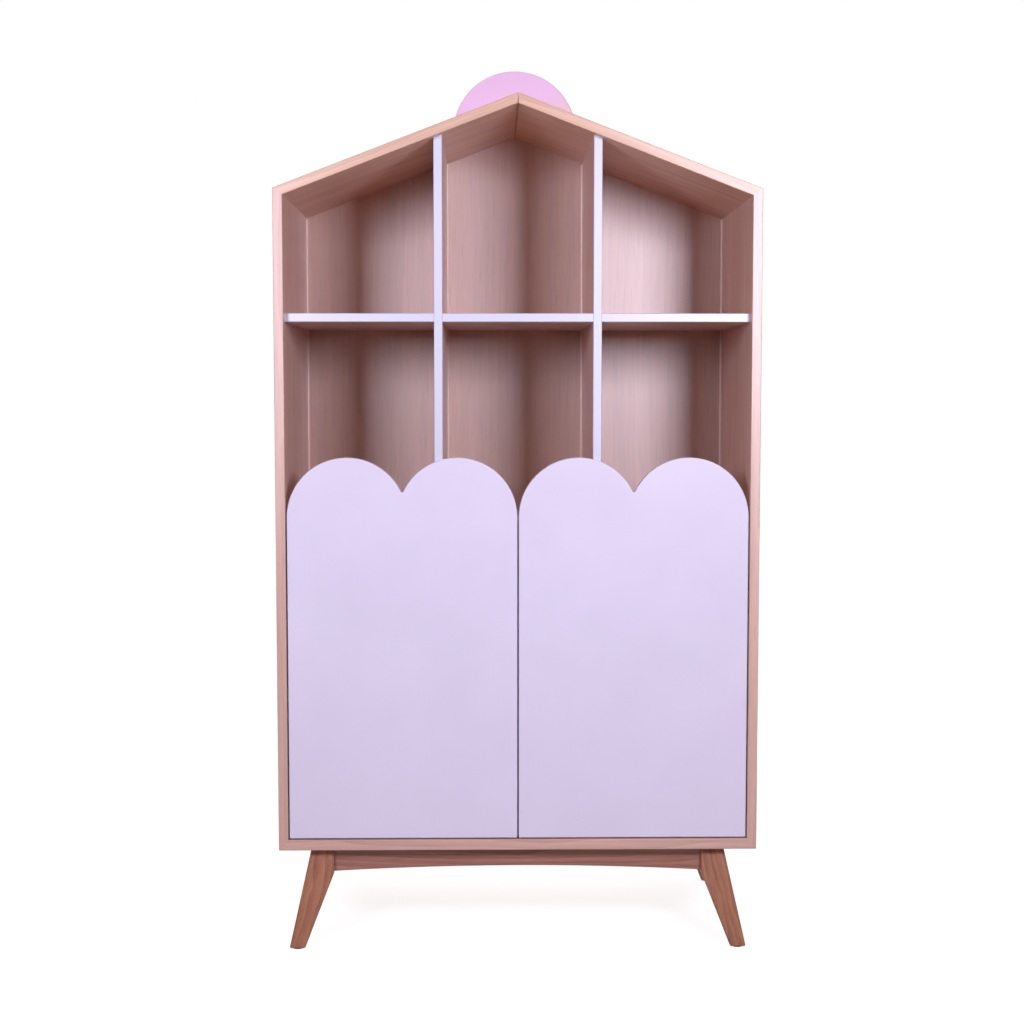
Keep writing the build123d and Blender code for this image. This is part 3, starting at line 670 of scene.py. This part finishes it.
poles = bmesh.new()
magnets = bmesh.new()
for sideName in ("left", "right"):
    low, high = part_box(sideName + "_magnet_catch")
    middle = (low + high) / 2
    deep = catchFront["deep"]
    poleMiddle = low.y - catchFront["polesProud"] + deep / 2
    magnetMiddle = low.y - catchFront["magnetProud"] + deep / 2
    for way in (-1, 1):
        height = middle.z + way * catchFront["poleFromMiddle"]
        poleSize = (catchFront["poleLong"], deep, catchFront["poleThick"])
        easedBox(poles, (middle.x, poleMiddle, height), poleSize)
    magnetSize = (catchFront["magnetLong"], deep, catchFront["magnetTall"])
    easedBox(magnets, (middle.x, magnetMiddle, middle.z), magnetSize)
magnetBlack = plasticMaterial("black_magnet", tone(46, 44, 44), 0.4)
addPiece("catch_pole_plates", poles, "cabinet", nickel)
addPiece("catch_magnets", magnets, "cabinet", magnetBlack)
print("catch fronts made")

# Quarter-round beads up the back corners of the open compartments
bead = dict(radius=3.2 * mm, steps=5, gap=0.3 * mm)


def roofUnder(across):   # height of the roof boards' lower face at a place across the case
    return ridgeTop - abs(across) * math.tan(roofAngle) - boardThickness / math.cos(roofAngle)


def cornerBead(across, way, bottom, top):   # way is +1 where the bead stands on a face that looks right
    shape = bmesh.new()
    corner = shape.verts.new((across, panelLow.y, bottom))
    first = shape.verts.new((across + way * bead["radius"], panelLow.y, bottom))
    bmesh.ops.spin(shape, geom=[first], axis=(0, 0, 1), cent=corner.co, angle=-way * fullTurn / 4,
                   steps=bead["steps"])
    arc = [vert for vert in shape.verts if abs((vert.co - corner.co).length - bead["radius"]) < tiny]
    face = bmesh.ops.contextual_create(shape, geom=[corner, *arc])["faces"]
    raised = bmesh.ops.extrude_face_region(shape, geom=face)["geom"]
    raisedVerts = [item for item in raised if isinstance(item, bmesh.types.BMVert)]
    bmesh.ops.translate(shape, vec=(0, 0, top - bottom), verts=raisedVerts)
    mesh = bpy.data.meshes.new("one_bead")
    shape.to_mesh(mesh)
    shape.free()
    return mesh


beads = bmesh.new()
rightFaces = [(sideLow.x, -1), (dividerHigh.x, 1), (dividerLow.x, -1)]
for across, way in rightFaces + [(-across, -way) for across, way in rightFaces]:
    roofEnd = roofUnder(abs(across) + bead["radius"])
    for bottom, top in ((midShelfTop, upperLow.z), (upperHigh.z, roofEnd)):
        oneBead = cornerBead(across, way, bottom + bead["gap"], top - bead["gap"])
        beads.from_mesh(oneBead)
        bpy.data.meshes.remove(oneBead)
# the beads take the pale bead oak, whose lightness is a painted highlight
addPiece("corner_beads", beads, "cabinet", woodMaterial("oak_corner_beads", "bead"))
print("corner beads made")

# Studio: a pale floor, a white surround and two soft lamps in front of the case, left and right
camera = dict(eye=(-0.0535, -3.217, 1.035), pitch=math.pi / 2 - 0.07, yaw=-0.014, lens=57.08, sensor=36)
floorLook = dict(
    size=10.0, front=-1.6, colour=(0.55, 0.55, 0.56, 1), glow=0.78,
    glossFrom=-0.3, glossTo=0.3,   # along Y: gloss sees a white floor behind, not in front
)
surround = dict(
    frontLight=0.02, light=0.75, ceiling=0.5,
    backFrom=-0.2, backTo=0.3, ceilingFrom=0.35, ceilingTo=0.8,   # shares of the view's direction
    frontTone=(1.0, 0.62, 0.42, 1), tone=(0.97, 0.95, 1, 1),
)
lampLook = dict(colour=(0.88, 0.83, 1.0), aim=(0, 0, 1.1))
lamps = (   # name, place, width, height, brightness
    ("leftSoftbox", (-1.17, -2.0, 1.5), 0.5, 0.56, 29.5),
    ("rightSoftbox", (0.93, -2.0, 1.5), 0.5, 0.56, 34.5),
)


def stageFloor():
    shape = bmesh.new()
    half = floorLook["size"] / 2
    bmesh.ops.create_grid(shape, x_segments=1, y_segments=1, size=half)
    bmesh.ops.translate(shape, verts=shape.verts, vec=(0, floorLook["front"] + half, 0))
    mesh = bpy.data.meshes.new("floor")
    shape.to_mesh(mesh)
    shape.free()
    floor = bpy.data.objects.new("floor", mesh)
    scene.collection.objects.link(floor)
    material = bpy.data.materials.new("white_floor")
    material.use_nodes = True
    tree = material.node_tree
    tree.nodes.clear()
    lit = addNode(tree, "BsdfDiffuse", {"Color": floorLook["colour"]})
    glow = addNode(tree, "Emission", {"Color": (1, 1, 1, 1), "Strength": floorLook["glow"]})
    seen = tree.nodes.new("ShaderNodeLightPath").outputs
    shown = calc(tree, "MAXIMUM", seen["Is Glossy Ray"], seen["Is Transmission Ray"])
    depth = splitAxes(tree, tree.nodes.new("ShaderNodeTexCoord").outputs["Object"])["Y"]
    behind = spread(tree, depth, floorLook["glossFrom"], floorLook["glossTo"])
    shown = calc(tree, "MAXIMUM", calc(tree, "MULTIPLY", shown, behind), seen["Is Camera Ray"])
    both = addNode(tree, "AddShader", {0: lit.outputs[0], 1: glow.outputs[0]})
    mixed = addNode(tree, "MixShader", {0: shown, 1: lit.outputs[0], 2: both.outputs[0]})
    output = tree.nodes.new("ShaderNodeOutputMaterial")
    tree.links.new(mixed.outputs[0], output.inputs["Surface"])
    mesh.materials.append(material)


def surroundWorld():
    world = bpy.data.worlds.new("surround")
    scene.world = world
    world.use_nodes = True
    tree = world.node_tree
    tree.nodes.clear()
    seen = tree.nodes.new("ShaderNodeLightPath").outputs
    shown = calc(tree, "MAXIMUM", seen["Is Camera Ray"], seen["Is Glossy Ray"])
    shown = calc(tree, "MAXIMUM", shown, seen["Is Transmission Ray"])
    way = splitAxes(tree, tree.nodes.new("ShaderNodeTexCoord").outputs["Generated"])
    # 0 in the dim warm room that the front faces
    behind = spread(tree, way["Y"], surround["backFrom"], surround["backTo"])
    above = spread(tree, way["Z"], surround["ceilingFrom"], surround["ceilingTo"], 0, surround["ceiling"])
    bright = calc(tree, "MAXIMUM", behind, above)
    roomTone = mixColour(tree, bright, surround["frontTone"], surround["tone"])
    roomLight = spread(tree, bright, 0, 1, surround["frontLight"], surround["light"])
    soft = addNode(tree, "Background", {"Color": roomTone, "Strength": roomLight})
    white = addNode(tree, "Background", {"Color": (1, 1, 1, 1), "Strength": 1.0})
    plain = calc(tree, "MAXIMUM", seen["Is Camera Ray"], calc(tree, "MULTIPLY", shown, behind))
    mixed = addNode(tree, "MixShader", {0: plain, 1: soft.outputs[0], 2: white.outputs[0]})
    output = tree.nodes.new("ShaderNodeOutputWorld")
    tree.links.new(mixed.outputs[0], output.inputs["Surface"])


def softLamp(name, place, width, height, brightness):
    light = bpy.data.lights.new(name, "AREA")
    light.shape = "RECTANGLE"
    light.size = width
    light.size_y = height
    light.energy = brightness * math.pi * width * height
    light.color = lampLook["colour"]
    lamp = bpy.data.objects.new(name, light)
    lamp.location = place
    lamp.rotation_euler = (Vector(lampLook["aim"]) - Vector(place)).to_track_quat("-Z", "Y").to_euler()
    scene.collection.objects.link(lamp)


def photoCamera():
    lens = bpy.data.cameras.new("photoCamera")
    lens.lens = camera["lens"]
    lens.sensor_width = camera["sensor"]
    viewer = bpy.data.objects.new("photoCamera", lens)
    viewer.location = camera["eye"]
    viewer.rotation_euler = (camera["pitch"], 0, camera["yaw"])
    scene.collection.objects.link(viewer)
    scene.camera = viewer


stageFloor()
surroundWorld()
for lampRow in lamps:
    softLamp(*lampRow)
photoCamera()
scene.view_settings.view_transform = "Standard"
print("studio set")
